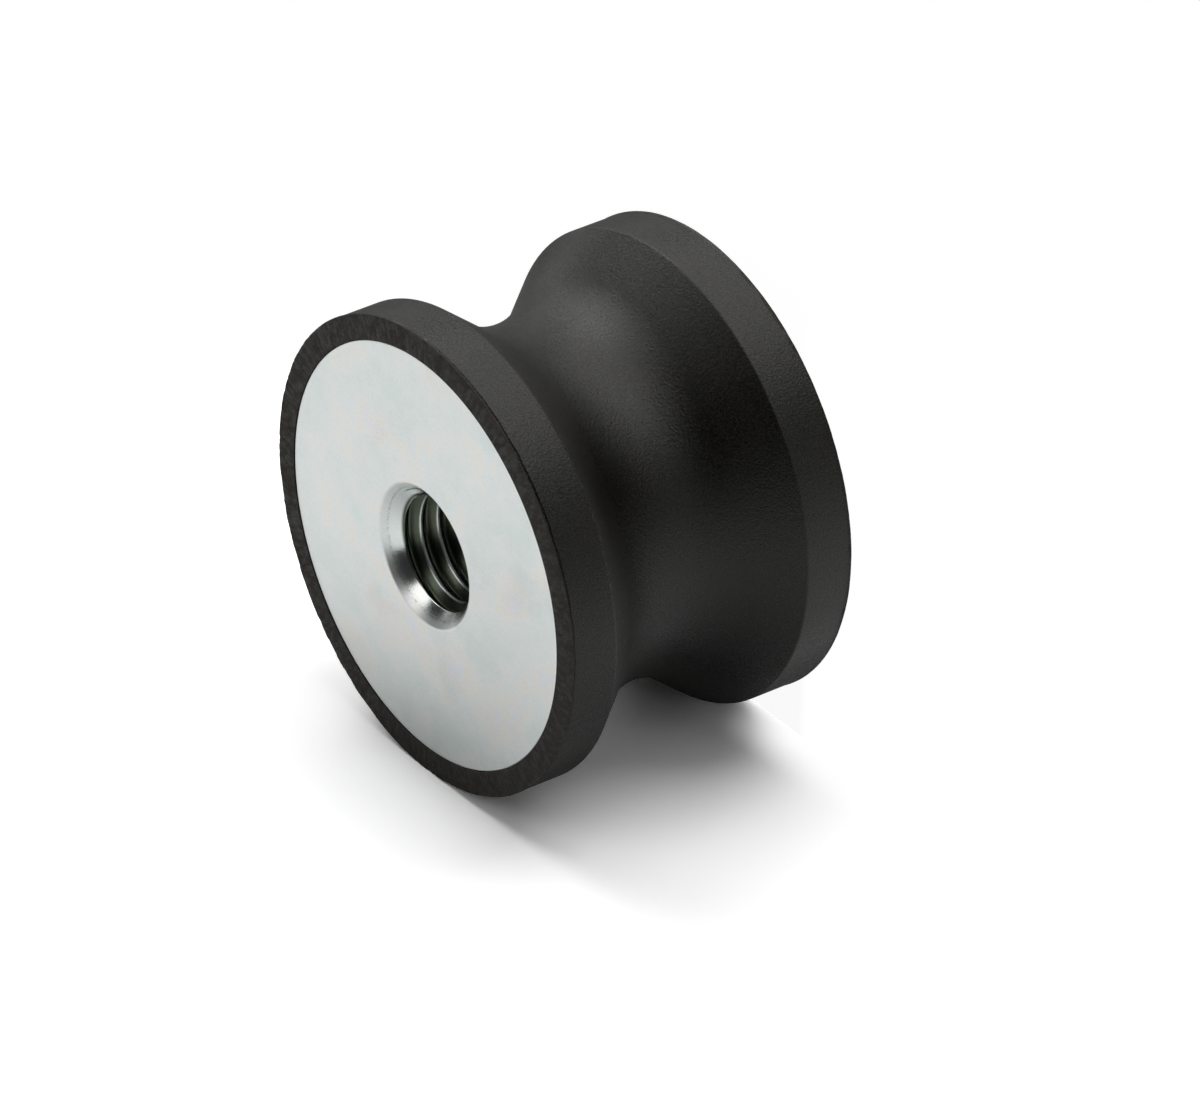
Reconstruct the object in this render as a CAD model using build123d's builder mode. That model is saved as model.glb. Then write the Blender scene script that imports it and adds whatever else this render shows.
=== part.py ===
"""Bobbin vibration mount: a waisted rubber spring bonded between two tapped steel inserts.

The mount stands on one end with +Z along its axis. The origin is the centre of the rubber
ring that it stands on. The two ends are alike, so each insert is made by the same functions
from a seat plane, which lies on the plate's outer face and looks out of the mount.
Sizes are in millimetres.
"""

import os
from math import radians, tan

from build123d import *

# Whole mount
mount_height = 20.3  # over the two rubber end rings
rim_dia = 30.0  # outside diameter of the two rubber rims

# Rubber spring
rim_width = 3.2  # cylindrical band at each end, measured from the ring's end face
flank_angle = 39.4  # slope of the waist's straight flanks, from the axis, in degrees
waist_arc_radius = 7.0  # hollow between the two flanks
ring_wall = 1.6  # rubber left around the edge of each plate
ring_proud = 0.05  # how far the end ring stands above the plate
rubber_core = 5.0  # rubber between the blind ends of the two bosses

# Steel inserts: a round plate and a blind tapped boss, headed from one blank
plate_thick = 2.0
plate_edge_bevel = 0.2  # broken edge of the plate's outer face
boss_wall = 3.0  # steel outside the thread's crests
boss_end_chamfer = 1.0
boss_floor = 0.8  # steel left under the deepest point of the bore

# M8 x 1.25 thread, made as a plain bore on its crests
thread_dia = 8.0
thread_pitch = 1.25
thread_loss = 5 / 8 * 3**0.5  # crest diameter lies this many pitches inside the thread's size
countersink_over = 1.2  # how much wider the countersink's mouth is than the thread
countersink_angle = 90.0
countersink_edge_radius = 0.35  # rounding where the countersink opens on the plate
bore_tip_angle = 155.0  # included angle of the shallow cone at the bore's end

# Worked out from the sizes above
rim_radius = rim_dia / 2
flank_depth = (mount_height / 2 - rim_width) * tan(radians(flank_angle))
plate_radius = rim_radius - ring_wall
bore_radius = (thread_dia - thread_loss * thread_pitch) / 2
boss_radius = bore_radius + boss_wall
insert_depth = (mount_height - rubber_core) / 2 - ring_proud
bore_tip_depth = bore_radius / tan(radians(bore_tip_angle / 2))
bore_depth = insert_depth - boss_floor - bore_tip_depth
countersink_radius = (thread_dia + countersink_over) / 2

upper_seat = Plane.XY.offset(mount_height - ring_proud)
lower_seat = Plane(origin=(0, 0, ring_proud), x_dir=(1, 0, 0), z_dir=(0, 0, -1))


def insert_blank(seat):
    """An insert before it is bored: the plate's outer face lies on seat, the boss behind it."""
    outward = Axis(seat.origin, seat.z_dir)
    with BuildPart() as blank:
        with BuildSketch(seat):
            Circle(plate_radius)
        extrude(amount=-plate_thick)
        with BuildSketch(seat):
            Circle(boss_radius)
        extrude(amount=-insert_depth)
        boss_end = blank.edges().filter_by(GeomType.CIRCLE).group_by(outward)[0]
        chamfer(boss_end, boss_end_chamfer)
    return blank.part


def tapped_insert(seat, name):
    """A finished insert: the blank with its face edge broken, then bored and countersunk."""
    outward = Axis(seat.origin, seat.z_dir)
    with BuildPart() as insert:
        add(insert_blank(seat))
        face_edge = insert.edges().filter_by(GeomType.CIRCLE).group_by(outward)[-1]
        chamfer(face_edge, plate_edge_bevel)
        with Locations(seat):
            CounterSinkHole(bore_radius, countersink_radius, bore_depth, countersink_angle)
        with Locations(seat.offset(-bore_depth)):
            Cone(
                0,
                bore_radius,
                bore_tip_depth,
                align=(Align.CENTER, Align.CENTER, Align.MAX),
                mode=Mode.SUBTRACT,
            )
        on_face = insert.edges().filter_by(GeomType.CIRCLE).group_by(outward)[-1]
        fillet(on_face.sort_by(SortBy.RADIUS)[0], countersink_edge_radius)
    insert.part.label = name
    return insert.part


upper_insert = tapped_insert(upper_seat, "upper_insert")
lower_insert = tapped_insert(lower_seat, "lower_insert")

# The rubber is one moulding: its half section is turned about Z, then each insert's seat is
# taken out of it, so that rubber and steel meet face to face where they are bonded.
with BuildPart() as rubber_body:
    with BuildSketch(Plane.XZ):
        with BuildLine():
            waist = FilletPolyline(
                (rim_radius, rim_width),
                (rim_radius - flank_depth, mount_height / 2),
                (rim_radius, mount_height - rim_width),
                radius=waist_arc_radius,
            )
            Polyline(
                waist @ 1,
                (rim_radius, mount_height),
                (0, mount_height),
                (0, 0),
                (rim_radius, 0),
                waist @ 0,
            )
        make_face()
    revolve(axis=Axis.Z)
    for seat in (upper_seat, lower_seat):
        add(insert_blank(seat), mode=Mode.SUBTRACT)
        with BuildSketch(seat):
            Circle(plate_radius)
        extrude(amount=ring_proud, mode=Mode.SUBTRACT)
rubber_body.part.label = "rubber_body"

os.makedirs("parts", exist_ok=True)
for piece in (rubber_body.part, upper_insert, lower_insert):
    export_step(piece, f"parts/{piece.label}.step")
    print(f"{piece.label}: {piece.volume:.1f} mm3, {piece.bounding_box().size}")
print(f"waist {2 * (waist @ 0.5).X:.2f} mm across, bore {2 * bore_radius:.3f} mm across")
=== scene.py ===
# %% [markdown]
# # A bobbin vibration mount
#
# The mount is a waisted black rubber block with a steel insert bonded into each end. A machine
# foot bolts into one insert and the floor or frame into the other, and the rubber between them
# carries the load and soaks up the shaking. Nothing on it moves, so every piece rides on one body.
#
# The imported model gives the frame: where the pieces are and how big they are. The looks are built
# round it here, in metres.

import math

import bmesh
import bpy
from mathutils import Matrix, Vector


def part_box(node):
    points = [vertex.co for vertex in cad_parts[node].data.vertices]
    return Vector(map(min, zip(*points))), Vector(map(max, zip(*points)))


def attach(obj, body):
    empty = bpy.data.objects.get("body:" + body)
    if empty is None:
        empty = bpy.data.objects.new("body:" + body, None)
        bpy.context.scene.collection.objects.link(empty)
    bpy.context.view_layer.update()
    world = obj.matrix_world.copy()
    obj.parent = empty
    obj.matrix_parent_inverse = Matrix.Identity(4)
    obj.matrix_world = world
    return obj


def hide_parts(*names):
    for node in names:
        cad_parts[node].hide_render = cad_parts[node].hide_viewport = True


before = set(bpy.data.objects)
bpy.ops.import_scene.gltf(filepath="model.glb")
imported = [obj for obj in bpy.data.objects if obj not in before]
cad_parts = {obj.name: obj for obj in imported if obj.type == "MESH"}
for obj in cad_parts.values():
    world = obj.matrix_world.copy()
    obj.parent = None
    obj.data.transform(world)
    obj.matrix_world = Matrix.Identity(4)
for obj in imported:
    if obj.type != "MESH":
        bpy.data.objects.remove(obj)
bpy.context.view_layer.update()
MM = 0.001

# %% [markdown]
# ## Sizes
#
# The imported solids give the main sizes: the outside of the rubber, the disc of each insert and
# the sunk position of its face. The rest are the details that the solids leave plain, such as
# the small roundings of the moulded edges and the cut thread.

# %% Sizes, in millimetres
low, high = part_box("rubber_body")
mount_height = (high.z - low.z) / MM
rim_radius = (high.x - low.x) / 2 / MM
insert_low, insert_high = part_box("upper_insert")
plate_radius = (insert_high.x - insert_low.x) / 2 / MM
face_height = insert_high.z / MM            # the plate's face, a hair below the rubber's end
boss_end = insert_low.z / MM                # where the insert ends inside the rubber

rim_width = 3.2                             # the straight band at each end
flank_angle = 39.4                          # degrees between the sloping flank and the axis
waist_arc = 7.0                             # radius of the hollow at the middle
rim_edge = 0.28                             # rounding between band and flank
plate_thick = 2.0
plate_edge = 0.09                           # rounding round the plate's face
boss_radius = 6.3234
boss_chamfer = 1.0

thread_pitch = 1.25
crest_radius = 3.3234                       # the hole that was drilled before tapping
crest_worn = 3.42                           # the crests, a little flattened by the tap
root_radius = 4.0
mouth_radius = 4.6                          # the countersink, where it meets the plate's face
mouth_edge = 0.35                           # and its soft edge
drill_depth, tip_depth = 6.0632, 6.8
print(f"height {mount_height:.2f}, rim radius {rim_radius:.2f}, plate radius {plate_radius:.2f}, "
      f"face at {face_height:.2f}, insert ends at {boss_end:.2f}")

# %% [markdown]
# ## A short way to write node sums
#
# Both Geometry Nodes and materials are trees of small sums. A `Field` is one number on its way
# through a tree, and adding two of them places the Add node and draws the two links. The sums in
# the cells below then read like the formulas they are.

# %% Fields
class Field:
    def __init__(self, tree, socket):
        self.tree, self.socket = tree, socket

    def sum(self, operation, *others):
        return put(self.tree, "ShaderNodeMath", self, *others, operation=operation)[0]

    def __add__(self, other): return self.sum("ADD", other)
    def __sub__(self, other): return self.sum("SUBTRACT", other)
    def __mul__(self, other): return self.sum("MULTIPLY", other)
    def __truediv__(self, other): return self.sum("DIVIDE", other)
    def __neg__(self): return self.sum("MULTIPLY", -1.0)
    def __rsub__(self, other): return -self + other
    __radd__, __rmul__ = __add__, __mul__

    def at_least(self, other): return self.sum("MAXIMUM", other)
    def at_most(self, other): return self.sum("MINIMUM", other)

    def step(self, start, end, low=0.0, high=1.0, kind="SMOOTHSTEP"):
        """Goes from low to high while the field goes from start to end."""
        return put(self.tree, "ShaderNodeMapRange", self, start, end, low, high,
                   interpolation_type=kind, clamp=True)[0]


def put(tree, kind, *values, settings=None, **attributes):
    """Places a node, feeds its inputs in order or by name, and returns its outputs as fields."""
    node = tree.nodes.new(kind)
    for name, value in attributes.items():
        setattr(node, name, value)
    feeds = dict(enumerate(values)) | (settings or {})
    for name, value in feeds.items():
        socket = node.inputs[name]
        if isinstance(value, Field):
            tree.links.new(value.socket, socket)
        elif value is not None:
            socket.default_value = value
    return [Field(tree, s) for s in node.outputs]


# %% [markdown]
# ## Trees with named inputs
#
# A tree that is used more than once, or with other sizes, gets named inputs, like the arguments
# of a function. Three short helpers open such a tree, close it, and place it inside another.

# %% Node groups
NUMBER, WHOLE, GEOMETRY = "NodeSocketFloat", "NodeSocketInt", "NodeSocketGeometry"


def tree_with(kind, name, inputs, outputs):
    """A new node tree with named inputs (name, socket type, default) and outputs (name, type)."""
    tree = bpy.data.node_groups.new(name, kind)
    for title, socket_type, *default in inputs:
        socket = tree.interface.new_socket(title, in_out="INPUT", socket_type=socket_type)
        if default:
            socket.default_value = default[0]
    for title, socket_type in outputs:
        tree.interface.new_socket(title, in_out="OUTPUT", socket_type=socket_type)
    given = tree.nodes.new("NodeGroupInput")
    return tree, {s.name: Field(tree, s) for s in given.outputs if s.name}


def use_group(tree, group, **values):
    """Places a group node, feeds its named inputs and returns its outputs by name."""
    node = tree.nodes.new("GeometryNodeGroup" if tree.bl_idname == "GeometryNodeTree"
                          else "ShaderNodeGroup")
    node.node_tree = group
    for name, value in values.items():
        socket = node.inputs[name.replace("_", " ")]
        if isinstance(value, Field):
            tree.links.new(value.socket, socket)
        else:
            socket.default_value = value
    return {s.name: Field(tree, s) for s in node.outputs}


def give(tree, *values):
    """Ends a tree: its outputs, in order."""
    end = tree.nodes.new("NodeGroupOutput")
    for socket, value in zip(end.inputs, values):
        tree.links.new(value.socket, socket)


# %% [markdown]
# ## The camera
#
# The mount stands on its end in the frame, but it is pictured lying on its two rims, with one
# insert towards the viewer. So the camera is level for somebody to whom the frame's -Y is up, and
# it looks a little down at the mount from a good distance, which keeps its two ends nearly the
# same size. A long lens then fills the picture.

# %% Camera
VIEW_AZIMUTH, VIEW_ELEVATION = -51.94, 29.79      # where the camera stands, round the mount
CAMERA_DISTANCE = 596.3                           # mm from the face of the upper insert
AIM_RIGHT, AIM_UP = 10.42, 0.46                   # mm by which it aims past that face's centre
FOCAL_LENGTH, SENSOR_WIDTH = 303.85, 36.0         # mm
NEAREST_SEEN, FARTHEST_SEEN = 0.02, 50.0          # metres
PICTURED_UP = Vector((0, -1, 0))

azimuth, elevation = math.radians(VIEW_AZIMUTH), math.radians(VIEW_ELEVATION)
back = Vector((math.sin(azimuth) * math.cos(elevation), -math.cos(azimuth) * math.cos(elevation),
               math.sin(elevation)))
right = PICTURED_UP.cross(back).normalized()
up = back.cross(right)

lens = bpy.data.cameras.new("camera")
lens.lens, lens.sensor_width = FOCAL_LENGTH, SENSOR_WIDTH
lens.clip_start, lens.clip_end = NEAREST_SEEN, FARTHEST_SEEN
camera = bpy.data.objects.new("camera", lens)
bpy.context.scene.collection.objects.link(camera)
face_centre = Vector((0, 0, mount_height))
camera.location = (face_centre + back * CAMERA_DISTANCE + right * AIM_RIGHT + up * AIM_UP) * MM
camera.rotation_euler = Matrix((right, up, back)).transposed().to_euler()
bpy.context.scene.camera = camera
bpy.context.scene.view_settings.view_transform = "Standard"
print("camera at", [round(c / MM, 1) for c in camera.location], "mm")

# %% [markdown]
# ## The stage
#
# A pale floor lies under the mount. A pale wall touches its rims on the side that is down in the
# picture, so the mount also rests on something there, and its soft shadow falls on it. Both are
# plain planes. Near the mount they are matt and take its shadow; further out, and in the corner
# where they meet beside the mount, they turn into plain white, which costs no extra light on the
# mount. Both vanish when seen from behind, so that the mount can be looked at from every side.
#
# The plate is a dull mirror and the rubber shines a little, so the wall also shows in them. There
# it is a plain grey: darker right under the mount, as the mount's own shadow would make it, and
# paler further out. The floor doesn't show in them at all.

# %% Floor and wall
STAGE_HALF_WIDTH = 3000                       # mm
GLOSS_PALES_FROM = 18                         # mm from the origin, still under the mount
CORNER_ACROSS, CORNER_UP = (-5, -11), (4, 0)  # mm over which the corner turns plain


def new_material(name):
    material = bpy.data.materials.new(name)
    material.use_nodes = True
    material.node_tree.nodes.clear()
    return material, material.node_tree


def object_point(tree):
    """The place on the object itself, in metres."""
    return put(tree, "ShaderNodeTexCoord")[3]


def stage_material(name, seen_as, under_as, mirrored_as, plain_share, near, far):
    """seen_as is how pale it is to the camera. In gloss it is under_as below the mount, a painted
    shade, and rises to mirrored_as at near mm. Close to the mount plain_share of it is plain white
    and the rest is lit, and beyond far mm all of it is plain."""
    material, tree = new_material(name)
    x, y, z = put(tree, "ShaderNodeSeparateXYZ", object_point(tree))
    distance = (x * x + y * y + z * z).sum("SQRT")
    corner = x.step(*(c * MM for c in CORNER_ACROSS)) * z.step(*(c * MM for c in CORNER_UP))
    plain = distance.step(near * MM, far * MM, plain_share, 1.0).at_least(corner)
    # painted shade in gloss: darker under the mount, paler further out
    in_gloss = distance.step(GLOSS_PALES_FROM * MM, near * MM, under_as, mirrored_as)
    ray = tree.nodes.new("ShaderNodeLightPath")
    seen = Field(tree, ray.outputs["Is Camera Ray"])
    tone = seen * seen_as + (1 - seen) * in_gloss
    colour = put(tree, "ShaderNodeCombineColor", tone, tone, tone)[0]
    matt = put(tree, "ShaderNodeBsdfDiffuse", colour)[0]
    glow = put(tree, "ShaderNodeEmission", (1, 1, 1, 1), seen + (1 - seen) * in_gloss)[0]
    front = put(tree, "ShaderNodeMixShader", plain, matt, glow)[0]
    through = put(tree, "ShaderNodeBsdfTransparent")[0]
    behind = Field(tree, tree.nodes.new("ShaderNodeNewGeometry").outputs["Backfacing"])
    surface = put(tree, "ShaderNodeMixShader", behind, front, through)[0]
    put(tree, "ShaderNodeOutputMaterial", surface)
    return material


def plane(name, centre, across, along, half, material):
    """A square plane of that half width, facing across x along."""
    mesh = bpy.data.meshes.new(name)
    corners = [centre + across * i * half + along * j * half
               for i, j in ((-1, -1), (1, -1), (1, 1), (-1, 1))]
    mesh.from_pydata([c * MM for c in corners], [], [(0, 1, 2, 3)])
    mesh.materials.append(material)
    thing = bpy.data.objects.new(name, mesh)
    bpy.context.scene.collection.objects.link(thing)
    thing.visible_shadow = False
    thing.visible_diffuse = False
    return thing


X, Y, Z = Vector((1, 0, 0)), Vector((0, 1, 0)), Vector((0, 0, 1))
floor = plane("floor", Vector((0, 0, 0)), X, Y, STAGE_HALF_WIDTH,
              stage_material("pale floor", 4.5, 0.8, 0.8, 0.93, 18, 24))
wall = plane("wall", Y * rim_radius, X, Z, STAGE_HALF_WIDTH,
             stage_material("pale wall", 1.47, 0.5, 0.83, 0.0, 35, 76))
floor.visible_glossy = False
print("stage:", floor.name, wall.name)

# %% [markdown]
# ## Light
#
# The rubber is black and the plate is a dull mirror, so both show what is round them more than
# their own colour. Large soft lamps therefore stand round the mount like a canopy. The strong
# ones overhead draw the light along the tops of the rims, those to the right and behind trace
# the far rim and the waist, and the one to the left shines in the countersink. The room between
# them stays dim, which keeps the waist deep black. One faint lamp on the far side lets the parts
# that are turned away read as well.

# %% World
ROOM, ROOM_IN_GLOSS = 0.06, 0.02

world = bpy.data.worlds.new("studio")
bpy.context.scene.world = world
world.use_nodes = True
tree = world.node_tree
tree.nodes.clear()
ray = tree.nodes.new("ShaderNodeLightPath")
seen, gloss, through = (Field(tree, ray.outputs[f"Is {kind} Ray"])
                        for kind in ("Camera", "Glossy", "Transmission"))
strength = (seen + through).at_most(1.0) * (1 - ROOM) + gloss * (ROOM_IN_GLOSS - ROOM) + ROOM
sky = put(tree, "ShaderNodeBackground", (1, 1, 1, 1), strength)[0]
put(tree, "ShaderNodeOutputWorld", sky)
print("world:", world.name)

# %% Lamps
LAMP_DISTANCE, LAMP_SIZE = 600, 350           # mm
CANOPY = {                                    # right, up and back of the mount, then the level
    "overhead": (0.03, 0.97, -0.26, 0.14), "over_the_middle": (0.0, 0.85, 0.52, 0.13),
    "over_the_left": (-0.39, 0.88, -0.27, 0.23), "over_the_right": (0.42, 0.80, 0.43, 0.25),
    "above_left": (-0.42, 0.90, 0.14, 0.21), "above_right": (0.42, 0.91, 0.05, 0.07),
    "right_above": (0.76, 0.63, 0.16, 0.03), "right_front": (0.74, 0.06, 0.66, 0.07),
    "over_and_behind": (0.50, 0.80, -0.32, 0.09), "far_behind": (0.18, 0.80, -0.58, 0.025),
    "behind_right": (0.73, 0.27, -0.63, 0.33), "above_the_viewer": (0.43, 0.53, 0.73, 0.07),
    "left_side": (-0.75, 0.40, 0.52, 0.105), "far_left": (-0.97, 0.05, 0.25, 0.055),
    "left_above": (-0.62, 0.66, -0.43, 0.04)}
FAR_SIDE, FAR_SIDE_LEVEL = Vector((0.3, 0.9, 0.3)), 0.02


def softbox(name, direction, level):
    """level is how bright a white card beside the mount would look under this lamp alone."""
    light = bpy.data.lights.new(name, "AREA")
    light.shape, light.size = "DISK", LAMP_SIZE * MM
    light.energy = level * (math.pi * LAMP_DISTANCE * MM) ** 2
    lamp = bpy.data.objects.new(name, light)
    aim = direction.normalized()
    lamp.location = (Vector((0, 0, mount_height / 2)) + aim * LAMP_DISTANCE) * MM
    lamp.rotation_euler = aim.to_track_quat("Z", "Y").to_euler()
    bpy.context.scene.collection.objects.link(lamp)


for name, (r, u, b, level) in CANOPY.items():
    softbox(name, right * r + up * u + back * b, level)
softbox("far_side_fill", FAR_SIDE, FAR_SIDE_LEVEL)

# %% [markdown]
# ## Finishes that both materials share
#
# Moulded rubber and plated steel both have a fine grain, and both carry a little dust and
# handling. Each of these is one node group with its own inputs, placed in both materials with
# different values. The patterns are three-dimensional and read the object's own coordinates, in
# millimetres, so they stay put from every side.

# %% Grain, clouding and polar coordinates
def noise(tree, point, scale, detail=2.0, rough=0.5, spread=0.0):
    """A cloudy number from 0 to 1 that changes scale times in each unit of the point."""
    return put(tree, "ShaderNodeTexNoise", settings={
        "Vector": point, "Scale": scale, "Detail": detail, "Roughness": rough,
        "Distortion": spread})[0]


def in_millimetres(tree):
    return put(tree, "ShaderNodeVectorMath", settings={0: object_point(tree), "Scale": 1 / MM},
               operation="SCALE")[0]


def grain_group():
    """Fine grain, broad clouds, and a few small specks in a share of the surface."""
    tree, given = tree_with("ShaderNodeTree", "grain", [
        ("Grain per mm", NUMBER, 5.0), ("Cloud per mm", NUMBER, 0.3),
        ("Speck share", NUMBER, 0.02)],
        [("Grain", NUMBER), ("Clouds", NUMBER), ("Specks", NUMBER)])
    point = in_millimetres(tree)
    fine = noise(tree, point, given["Grain per mm"], 3.0, 0.75)
    clouds = noise(tree, point, given["Cloud per mm"], 4.0, 0.55, 0.4)
    cells = put(tree, "ShaderNodeTexVoronoi", settings={"Vector": point, "Scale": 3.0})
    chosen = noise(tree, point, 1.7, 1.0).step(1.0 - given["Speck share"] * 6.0, 1.0)
    specks = cells[0].step(0.10, 0.05) * chosen
    give(tree, fine, clouds, specks)
    return tree


def round_the_axis_group():
    """Radius, height and a pattern of fine lines that run out from the axis like spokes."""
    tree, given = tree_with("ShaderNodeTree", "round the axis", [
        ("Spokes", NUMBER, 60.0), ("Ring spread per mm", NUMBER, 0.5)],
        [("Radius", NUMBER), ("Height", NUMBER), ("Spoke lines", NUMBER)])
    x, y, z = put(tree, "ShaderNodeSeparateXYZ", in_millimetres(tree))
    radius = (x * x + y * y).sum("SQRT")
    safe = radius.at_least(0.01)
    spread = given["Ring spread per mm"]
    spot = put(tree, "ShaderNodeCombineXYZ", x / safe * given["Spokes"],
               y / safe * given["Spokes"], radius * spread + z * 3.1)[0]
    lines = noise(tree, spot, 1.0, 3.0, 0.65)
    give(tree, radius, z, lines)
    return tree


grain, round_the_axis = grain_group(), round_the_axis_group()
print("shared finishes:", grain.name, "and", round_the_axis.name)

# %% [markdown]
# ## Colour and relief
#
# Both materials also mix a plain colour with a marked one, and turn a height into a normal. The
# Mix node has sockets for several types of value: for colours, 0 is the share and 6 and 7 are the
# two colours. The depth of the relief is a plain number, and only the height changes from place
# to place.

# %% Mixing and relief
def mixed(tree, share, plain, marked, blend="MIX"):
    """Goes from one colour to the other, or to their product, as the share goes from 0 to 1."""
    return put(tree, "ShaderNodeMix", settings={0: share, 6: plain, 7: marked},
               data_type="RGBA", blend_type=blend)[2]


def relief(tree, height, strength, depth):
    """The normal of a surface that rises by depth mm where the height rises by 1."""
    return put(tree, "ShaderNodeBump", settings={
        "Strength": strength, "Distance": depth * MM, "Height": height})[0]


# %% [markdown]
# ## Black rubber
#
# Moulded natural rubber is a warm near-black with a dull, slightly pimpled skin. The end rings
# are trimmed after moulding, and the cutter leaves them rougher, browner and mottled with short
# lines that run outwards. The skin is a little smoother and glossier in the waist, where the mould
# was polished, and it looks duller at a slant, because the pimples hide each other there. Grain,
# trimming lines and dust come from the shared groups; the shader stays in the material itself.

# %% Rubber material
RUBBER_BLACK, RUBBER_BROWN = (0.0010, 0.0010, 0.0009, 1), (0.0310, 0.0226, 0.0150, 1)
WARM_SHEEN = (1.0, 0.99, 0.965, 1)

rubber, tree = new_material("black rubber")
skin = use_group(tree, grain, Grain_per_mm=7.0, Cloud_per_mm=0.30, Speck_share=0.03)
polar = use_group(tree, round_the_axis, Spokes=45.0, Ring_spread_per_mm=1.6)
ring_low = polar["Height"].step(0.02, 0.10, 1.0, 0.0)
ring_high = polar["Height"].step(mount_height - 0.10, mount_height - 0.02)
ring = ring_low.at_least(ring_high)
trimmed = (polar["Spoke lines"].step(0.35, 0.65) - 0.5) * ring
waist = polar["Radius"].step(14.3, 12.6)
pimples = skin["Grain"].step(0.25, 0.75, kind="LINEAR")
slant = put(tree, "ShaderNodeLayerWeight", 0.5)[1].step(0.50, 0.90)

shade = skin["Clouds"].step(0.3, 0.7) * 0.06 + (pimples - 0.5) * 0.26 + 0.05 + ring * 0.24 \
    + trimmed * 0.7 + skin["Specks"] * 0.7
colour = mixed(tree, shade.at_least(0.0).at_most(1.0), RUBBER_BLACK, RUBBER_BROWN)
dull = 0.27 - waist * 0.04 + ring * 0.40 + (skin["Clouds"] - 0.5) * 0.16 + trimmed * 0.3 \
    + (pimples - 0.5) * 0.25 + slant * 0.45
height = pimples * 1.4 + skin["Clouds"] * 1.5 + skin["Specks"] * 0.5 \
    + polar["Spoke lines"] * ring * 1.5
shader = put(tree, "ShaderNodeBsdfPrincipled", settings={
    "Base Color": colour, "Roughness": dull, "Normal": relief(tree, height, 0.8, 0.02),
    "IOR": 1.5, "Specular IOR Level": 0.385, "Specular Tint": WARM_SHEEN})[0]
put(tree, "ShaderNodeOutputMaterial", shader)
print(rubber.name + ":", len(tree.nodes), "nodes")

# %% [markdown]
# ## Zinc-plated steel
#
# The inserts are turned steel with a thin blue-passivated zinc skin: a pale cool grey with faint
# clouds of blue, green, pink and straw, because the passivation is a film about as thin as light
# waves are long. A colour ramp over two noises, one broad and one fine, gives those tints. The
# plate is a dull mirror.
#
# The countersink is smoother, with one broken line from the tool and a few dark pits at its
# mouth. In the tapped hole the skin is thinner and oily, which makes the grooves of the thread
# greener; their darkness against the crests is painted shade. All of these darken the tint by one
# colour, real stains and painted shade together.

# %% Steel material
FILM_TINTS = [(0.0, (0.745, 0.81, 0.795)), (0.3, (0.79, 0.84, 0.825)), (0.5, (0.80, 0.84, 0.84)),
              (0.66, (0.825, 0.84, 0.81)), (0.8, (0.84, 0.835, 0.79)), (0.9, (0.835, 0.82, 0.81)),
              (1.0, (0.80, 0.835, 0.86))]
# a dark green used for the real stains and as painted shade in the thread's grooves
STAIN_AND_SHADE = (0.115, 0.13, 0.095, 1)
TOOL_LINE_RADIUS = 4.22                       # mm from the axis, in the countersink

steel, tree = new_material("zinc plated steel")
skin = use_group(tree, grain, Grain_per_mm=7.0, Cloud_per_mm=0.16, Speck_share=0.05)
polar = use_group(tree, round_the_axis, Spokes=30.0, Ring_spread_per_mm=9.0)
broad = noise(tree, in_millimetres(tree), 0.24, 2.0, 0.45, 0.25)
fine = noise(tree, in_millimetres(tree), 1.3, 3.0, 0.6)
film = (broad + (fine - 0.5) * 0.45).step(0.30, 0.70, kind="LINEAR")
tint = put(tree, "ShaderNodeValToRGB", film)[0]
ramp = tint.socket.node.color_ramp
ramp.interpolation = "B_SPLINE"
while len(ramp.elements) < len(FILM_TINTS):
    ramp.elements.new(0.5)
for stop, (place, shown) in zip(ramp.elements, FILM_TINTS):
    stop.position, stop.color = place, (*shown, 1)

from_face = (polar["Height"] - mount_height / 2).sum("ABSOLUTE") * -1.0 + mount_height / 2
in_hole = polar["Radius"].step(4.9, 4.5) * from_face.step(0.15, 0.8)
in_cone = in_hole * from_face.step(1.1, 1.3, 1.0, 0.0)
# the thread's grooves, darkened as painted shade
groove = polar["Radius"].step(crest_worn, crest_worn + 0.12) * from_face.step(0.95, 1.1)
tool_line = (polar["Radius"] - TOOL_LINE_RADIUS).sum("ABSOLUTE").step(0.06, 0.02) * in_hole
pits = in_hole * skin["Grain"].step(0.50, 0.62) * from_face.step(0.5, 0.3, 0.0, 1.0)
broken = polar["Spoke lines"].step(0.46, 0.54)
# real stains (tool line, pits, specks, grain, clouds) together with the painted shade in the
# grooves
stain_and_shade = (groove + tool_line * broken * 0.9 + pits * broken * 0.8 + skin["Specks"] * 0.5
         + skin["Grain"].step(0.35, 0.75) * 0.09 + skin["Clouds"].step(0.52, 0.75) * 0.08
         - 0.02).at_least(0.0).at_most(1.0)
colour = mixed(tree, stain_and_shade, tint, STAIN_AND_SHADE, blend="MULTIPLY")
dull = 0.36 + (skin["Clouds"] - 0.5) * 0.16 - in_hole * 0.08 - in_cone * 0.10 + skin["Specks"] * 0.3
height = skin["Grain"] * 0.5 + skin["Clouds"] * 3.0 + skin["Specks"] * 1.2
shader = put(tree, "ShaderNodeBsdfPrincipled", settings={
    "Base Color": colour, "Metallic": 1.0, "Roughness": dull,
    "Normal": relief(tree, height, 0.22, 0.03)})[0]
put(tree, "ShaderNodeOutputMaterial", shader)
print(steel.name + ":", len(tree.nodes), "nodes")

# %% [markdown]
# ## Sections
#
# Both pieces are round, so each starts as a section: the outline that one cut through its axis
# would show, as a chain of points with radius across and height up. A corner is given with the
# radius of its rounding, and `rounded` puts a short arc in its place. The third number that a
# point keeps is how much it may wander, which the rubber's trimmed edge uses.

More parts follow.
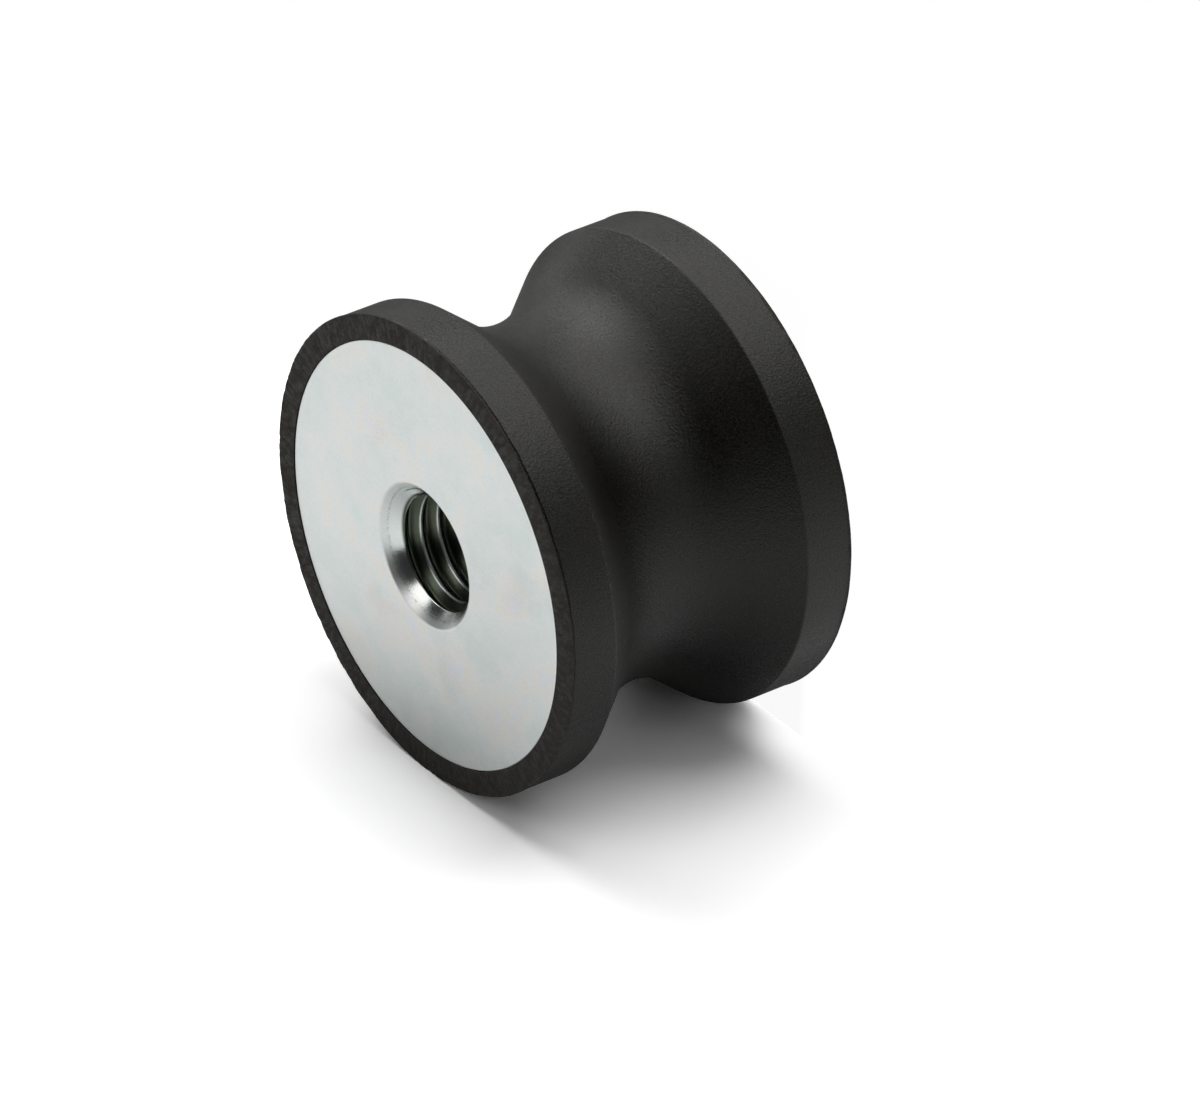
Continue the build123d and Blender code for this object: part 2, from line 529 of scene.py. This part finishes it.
# %% Section outlines
def rounded(corners):
    """corners: (radius, height, rounding, steps in the arc, wander). Returns the points."""
    points = []
    for i, (r, z, rounding, steps, wander) in enumerate(corners):
        here = Vector((r, z))
        if not rounding or i in (0, len(corners) - 1):
            points.append((r, z, wander))
            continue
        to_last = (Vector(corners[i - 1][:2]) - here).normalized()
        to_next = (Vector(corners[i + 1][:2]) - here).normalized()
        half = to_last.angle(to_next) / 2
        centre = here + (to_last + to_next).normalized() * rounding / math.sin(half)
        first = here + to_last * rounding / math.tan(half) - centre
        turn = first.angle_signed(here + to_next * rounding / math.tan(half) - centre)
        for k in range(steps + 1):
            p = centre + Matrix.Rotation(-turn * k / steps, 2) @ first
            points.append((p.x, p.y, wander))
    return points


def section_mesh(name, points):
    """A chain of points in the XZ plane, in metres, with the wander kept as an attribute."""
    mesh = bpy.data.meshes.new(name)
    mesh.from_pydata([(r * MM, 0, z * MM) for r, z, _ in points],
                     [(i, i + 1) for i in range(len(points) - 1)], [])
    mesh.attributes.new("wander", "FLOAT", "POINT").data.foreach_set(
        "value", [w for _, _, w in points])
    return mesh


# %% [markdown]
# ## Turning a section on the lathe
#
# A lathe part follows one rule: every point of the section goes round the axis in a circle. The
# tree makes a flat grid with a row for each point of the section and a column for each step round
# the axis, then sets each grid point to its place. The two ends of the grid meet, and so do the
# points on the axis, so a merge by distance closes the surface.

# %% The lathe tree
def named(tree, attribute):
    """A number that each point carries under that name."""
    return put(tree, "GeometryNodeInputNamedAttribute", settings={"Name": attribute},
               data_type="FLOAT")[0]


def row_and_column(tree, rows):
    """Where a point lies in a grid, counted from its index. The small number guards rounding."""
    index = put(tree, "GeometryNodeInputIndex")[0]
    column = (index / rows + 0.0001).sum("FLOOR")
    return index - column * rows, column


def lathe_group():
    tree, given = tree_with("GeometryNodeTree", "lathe", [
        ("Section", GEOMETRY), ("Columns", WHOLE, 240)], [("Surface", GEOMETRY)])
    rows = put(tree, "GeometryNodeAttributeDomainSize", given["Section"])[0]
    columns = given["Columns"]
    grid = put(tree, "GeometryNodeMeshGrid", 1.0, 1.0, columns + 1.0, rows)[0]
    row, column = row_and_column(tree, rows)
    spot = put(tree, "GeometryNodeSampleIndex", settings={
        "Geometry": given["Section"], "Index": row,
        "Value": put(tree, "GeometryNodeInputPosition")[0]}, data_type="FLOAT_VECTOR")[0]
    wander = put(tree, "GeometryNodeSampleIndex", settings={
        "Geometry": given["Section"], "Index": row, "Value": named(tree, "wander")})[0]
    radius, _, height = put(tree, "ShaderNodeSeparateXYZ", spot)
    angle = column / columns * (2 * math.pi)
    place = put(tree, "ShaderNodeCombineXYZ", radius * angle.sum("COSINE"),
                radius * angle.sum("SINE"), height)[0]
    kept = put(tree, "GeometryNodeStoreNamedAttribute", settings={
        "Geometry": grid, "Name": "wander", "Value": wander})[0]
    turned = put(tree, "GeometryNodeSetPosition", settings={
        "Geometry": kept, "Position": place})[0]
    give(tree, put(tree, "GeometryNodeFlipFaces", turned)[0])
    return tree


lathe = lathe_group()
print("tree:", lathe.name, "with", len(lathe.nodes), "nodes")

# %% [markdown]
# ## From a tree to a plain mesh
#
# Each piece's own tree ends in the same way: the seams are merged, edges that belong to no face
# are dropped, the shading is made smooth, and the material is set. The tree then runs once as a
# modifier on the section, and what it makes is kept as a plain mesh, so that nothing live is left
# on the piece. A closed piece has no open edge, and its volume can be read.

# %% Growing and measuring a piece
MERGE_REACH = 0.0005                         # mm within which two points become one


def finished(tree, surface, material):
    """Closes the seams, smooths the shading and gives the material."""
    merged = put(tree, "GeometryNodeMergeByDistance", settings={
        "Geometry": surface, "Distance": MERGE_REACH * MM})[0]
    beside = put(tree, "GeometryNodeInputMeshEdgeNeighbors")[0]
    bare = put(tree, "ShaderNodeMath", beside, 0.5, operation="LESS_THAN")[0]
    closed = put(tree, "GeometryNodeDeleteGeometry", settings={
        "Geometry": merged, "Selection": bare}, domain="EDGE", mode="EDGE_FACE")[0]
    smooth = put(tree, "GeometryNodeSetShadeSmooth", closed)[0]
    whole = put(tree, "GeometryNodeRealizeInstances", smooth)[0]
    give(tree, put(tree, "GeometryNodeSetMaterial", settings={
        "Geometry": whole, "Material": material})[0])


def grown(name, section, tree, **values):
    """Runs a tree on a section and keeps the result as a plain mesh object."""
    seed = bpy.data.objects.new(name + "_section", section)
    bpy.context.scene.collection.objects.link(seed)
    modifier = seed.modifiers.new("grow", "NODES")
    modifier.node_group = tree
    for item in tree.interface.items_tree:
        if item.name in values:
            modifier[item.identifier] = values[item.name]
    shape = seed.evaluated_get(bpy.context.evaluated_depsgraph_get())
    mesh = bpy.data.meshes.new_from_object(shape)
    seed.modifiers.remove(modifier)
    bpy.data.objects.remove(seed)
    thing = bpy.data.objects.new(name, mesh)
    mesh.name = name
    bpy.context.scene.collection.objects.link(thing)
    return thing


def measured(thing):
    """Prints how many triangles a piece has, its volume, and whether it is closed."""
    work = bmesh.new()
    work.from_mesh(thing.data)
    open_edges = sum(not edge.is_manifold for edge in work.edges)
    volume = work.calc_volume(signed=True) / MM ** 3
    faces = sum(len(f.verts) - 2 for f in work.faces)
    work.free()
    print(f"{thing.name}: {faces} triangles, {volume:.1f} mm3, {open_edges} open edges")


# %% [markdown]
# ## The rubber body
#
# Half of the section runs from the core, round the pocket that holds an insert, over the end
# ring and down the outside to the waist; the other half is its mirror image. Close under the
# ring's outer edge lies the line along which it was trimmed, so the section has more points there.
# Above that line the rubber stands out by a hair, as a lip.

# %% Rubber section
TRIM = 0.12                                  # how far the trimmed line lies from the end
LIP = 0.035                                  # how far the lip above it stands out


def rubber_half():
    top, band = mount_height, mount_height - rim_width
    apex = rim_radius - (band - mount_height / 2) * math.tan(math.radians(flank_angle))
    pocket = face_height - plate_thick
    skin_radius = rim_radius - LIP
    seat = [
        (0, boss_end, 0, 0, 0), (boss_radius - boss_chamfer, boss_end, 0, 0, 0),
        (boss_radius, boss_end + boss_chamfer, 0, 0, 0), (boss_radius, pocket, 0, 0, 0),
        (plate_radius, pocket, 0, 0, 0), (plate_radius, top - 0.3, 0, 0, 0)]
    ring = [
        (plate_radius, top, 0.05, 4, 0.0), (plate_radius + 0.35, top, 0, 0, 0.05),
        (rim_radius - 0.75, top, 0, 0, 0.1), (rim_radius - 0.3, top, 0, 0, 0.4)]
    lip = [
        (rim_radius, top, 0.03, 3, 0.9), (rim_radius, top - TRIM + 0.05, 0, 0, 1),
        (skin_radius, top - TRIM - 0.02, 0, 0, 2), (skin_radius, top - TRIM - 0.10, 0, 0, 1),
        (skin_radius, top - TRIM - 0.14, 0, 0, 0.95), (skin_radius, top - 0.7, 0, 0, 0.15)]
    outside = [
        (skin_radius, (top + band) / 2, 0, 0, 0), (skin_radius, band, rim_edge, 6, 0),
        (apex, mount_height / 2, waist_arc, 28, 0)]
    return seat + ring + lip + outside


half = rubber_half()
mirrored = [(r, mount_height - z, *rest) for r, z, *rest in reversed(half[:-1])]
rubber_section = rounded(half + mirrored)
print(len(rubber_section), "points in the rubber's section")

# %% [markdown]
# ## The trimmed edge
#
# The ends were trimmed with a knife, so the outer edge wanders a little and small crumbs are
# missing from it. On one side of the upper end the blade tore the rubber, and on another the cut
# gapes as a fine crease. The section's wander says how much of this each point takes: up to 1 for
# the edge, and more than 1 where the crease opens. The tree turns the section on the lathe and
# then moves those points with noises that run round the edge. The lower ring was trimmed cleaner.

# %% The rubber's tree
SPLIT_SIDE, TORN_SIDE = 218, 160             # degrees round the axis, on the upper end

tree, given = tree_with("GeometryNodeTree", "rubber body", [
    ("Section", GEOMETRY), ("Columns", WHOLE, 400), ("Crumble depth", NUMBER, 0.06),
    ("Wander", NUMBER, 0.07), ("Crease depth", NUMBER, 0.35), ("Seed", NUMBER, 4.0)],
    [("Surface", GEOMETRY)])
turned = use_group(tree, lathe, Section=given["Section"], Columns=given["Columns"])["Surface"]
x, y, z = put(tree, "ShaderNodeSeparateXYZ", put(tree, "GeometryNodeInputPosition")[0])
radius = (x * x + y * y).sum("SQRT").at_least(0.1 * MM)
end = (z - mount_height * MM / 2).sum("SIGN")
upper_end = end.at_least(0.0)


def edge_noise(scale, shift):
    """A noise that runs round the edge, different at each end and for each shift."""
    spot = put(tree, "ShaderNodeCombineXYZ", x / radius * scale, y / radius * scale,
               end * 7.0 + given["Seed"] + shift)[0]
    return noise(tree, spot, 1.0, 4.0, 0.7)


def facing(degrees, start, end):
    """1 on the side of the mount that lies at that angle round the axis, and 0 elsewhere."""
    angle = math.radians(degrees)
    return ((x * math.cos(angle) + y * math.sin(angle)) / radius).step(start, end)


torn = facing(TORN_SIDE, 0.86, 0.97) * upper_end
bites = edge_noise(26.0, 0.0).step(0.50, 0.72) + edge_noise(9.0, 3.0).step(0.56, 0.68) * 0.5
bites = bites * (torn * 0.55 + 0.15) + edge_noise(75.0, 8.0).step(0.45, 0.60) * torn * 0.4
sway = (edge_noise(5.0, 11.0) - 0.5) + (edge_noise(30.0, 5.0) - 0.5) * 0.35 \
    - edge_noise(8.0, 31.0).step(0.48, 0.56) * 0.6
gape = facing(SPLIT_SIDE, 0.58, 0.72) * upper_end + edge_noise(4.0, 23.0).step(0.5, 0.62) * 0.25

marked = named(tree, "wander")
wander = marked.at_most(1.0) * (upper_end * 0.7 + 0.3)
crease = (marked - 1.0).at_least(0.0)
inward = (bites * given["Crumble depth"] * wander
          + crease * gape.at_most(1.0) * given["Crease depth"]) * -MM
down = ((sway - 0.35) * given["Wander"] * wander * MM - bites * wander * 0.015 * MM).at_most(0.0)
shift = put(tree, "ShaderNodeCombineXYZ", x / radius * inward, y / radius * inward, down * end)[0]
moved = put(tree, "GeometryNodeSetPosition", settings={"Geometry": turned, "Offset": shift})[0]
finished(tree, moved, rubber)
rubber_tree = tree
print("tree:", rubber_tree.name, "with", len(rubber_tree.nodes), "nodes")

# %% Rubber piece
RUBBER_COLUMNS = 640

body = grown("rubber_bobbin", section_mesh("rubber_section", rubber_section), rubber_tree,
             Columns=RUBBER_COLUMNS)
measured(body)
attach(body, "root")
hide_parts("rubber_body")

# %% [markdown]
# ## The tapped hole
#
# A tap cuts a helical groove into the drilled and countersunk hole. If the rows of a grid ran
# straight round the hole, the slanting crests would cross them and look like stairs. So each row
# climbs with the thread instead: along one row the thread has one and the same depth, and after a
# turn a row meets the row one pitch further up. The rows stop at the two ends of the threaded
# stretch. At each point the surface is the wider of the countersunk hole and the thread.

# %% The insert's tree
THREAD_FROM, THREAD_TO = 0.40, 5.90          # depths in mm between which the helical grid lies
FADE_FROM, FADE_TO = 4.6, 5.5                # and between which the groove runs out
ROWS_PER_PITCH = 24


def thread_grid(tree, given):
    turns = (THREAD_TO - THREAD_FROM) / thread_pitch + 1
    rows = math.ceil(turns * ROWS_PER_PITCH) + 1
    columns = given["Columns"]
    grid = put(tree, "GeometryNodeMeshGrid", 1.0, 1.0, columns + 1.0, rows)[0]
    row, column = row_and_column(tree, float(rows))
    turn = column / columns
    depth = (row / ROWS_PER_PITCH - turn) * thread_pitch + THREAD_FROM
    depth = depth.at_least(THREAD_FROM).at_most(THREAD_TO)
    phase = depth / thread_pitch + turn + given["Start"]
    from_crest = (phase - (phase + 0.5).sum("FLOOR")).sum("ABSOLUTE")
    straight = from_crest.step(0.035, 0.43, kind="LINEAR")
    soft = from_crest.step(0.03, 0.46)
    profile = straight * 0.8 + soft * 0.2
    fade = depth.step(FADE_FROM, FADE_TO, 1.0, 0.0)
    cut = (profile * given["Thread depth"] + (crest_worn - crest_radius)) * fade + crest_radius
    cone = (-depth + mouth_radius).at_least(crest_radius)
    radius = cone.at_least(cut) * MM
    angle = turn * (2 * math.pi)
    place = put(tree, "ShaderNodeCombineXYZ", radius * angle.sum("COSINE"),
                radius * angle.sum("SINE"), (-depth + face_height) * MM)[0]
    return put(tree, "GeometryNodeSetPosition", settings={"Geometry": grid, "Position": place})[0]


tree, given = tree_with("GeometryNodeTree", "tapped insert", [
    ("Section", GEOMETRY), ("Columns", WHOLE, 240), ("Start", NUMBER, 0.0),
    ("Thread depth", NUMBER, root_radius - crest_worn)], [("Surface", GEOMETRY)])
outside = use_group(tree, lathe, Section=given["Section"], Columns=given["Columns"])["Surface"]
joined = tree.nodes.new("GeometryNodeJoinGeometry")
for part in (outside, thread_grid(tree, given)):
    tree.links.new(part.socket, joined.inputs[0])
finished(tree, Field(tree, joined.outputs[0]), steel)
insert_tree = tree
print("tree:", insert_tree.name, "with", len(insert_tree.nodes), "nodes")

# %% [markdown]
# ## The inserts
#
# The section of an insert is one chain. It starts in the countersink, where the helical grid
# begins, and runs over the soft mouth, the face, the edge, the back of the plate and the boss to
# the axis. It climbs the axis, where it has no width and vanishes, and comes out again over the
# bottom of the drilled hole up to the other end of the helical grid. Both inserts are the same
# part, so the lower one is a copy turned end over end. It is not a mirror image, because that
# would make its thread left-handed.

# %% Insert section and pieces
THREAD_START = 0.19                          # turns by which the groove's start is set round
INSERT_COLUMNS = 240
FACE_RING = 9.0                              # one more ring of points across the flat face


def insert_section():
    back_of_plate = face_height - plate_thick
    return rounded([
        (mouth_radius - THREAD_FROM, face_height - THREAD_FROM, 0, 0, 0),
        (mouth_radius, face_height, mouth_edge, 8, 0), (FACE_RING, face_height, 0, 0, 0),
        (plate_radius, face_height, plate_edge, 5, 0),
        (plate_radius, back_of_plate, 0.1, 3, 0), (boss_radius, back_of_plate, 0, 0, 0),
        (boss_radius, boss_end + boss_chamfer, 0, 0, 0),
        (boss_radius - boss_chamfer, boss_end, 0, 0, 0), (0, boss_end, 0, 0, 0),
        (0, face_height - tip_depth, 0, 0, 0), (crest_radius, face_height - drill_depth, 0, 0, 0),
        (crest_radius, face_height - THREAD_TO, 0, 0, 0)])


upper = grown("upper_tapped_insert", section_mesh("insert_section", insert_section()),
              insert_tree, Columns=INSERT_COLUMNS, Start=THREAD_START)
lower = bpy.data.objects.new("lower_tapped_insert", upper.data.copy())
bpy.context.scene.collection.objects.link(lower)
end_over_end = Matrix.Translation(Z * mount_height * MM) @ Matrix.Rotation(math.pi, 4, "X")
lower.data.transform(end_over_end)
for insert, node in ((upper, "upper_insert"), (lower, "lower_insert")):
    measured(insert)
    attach(insert, "root")
    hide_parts(node)
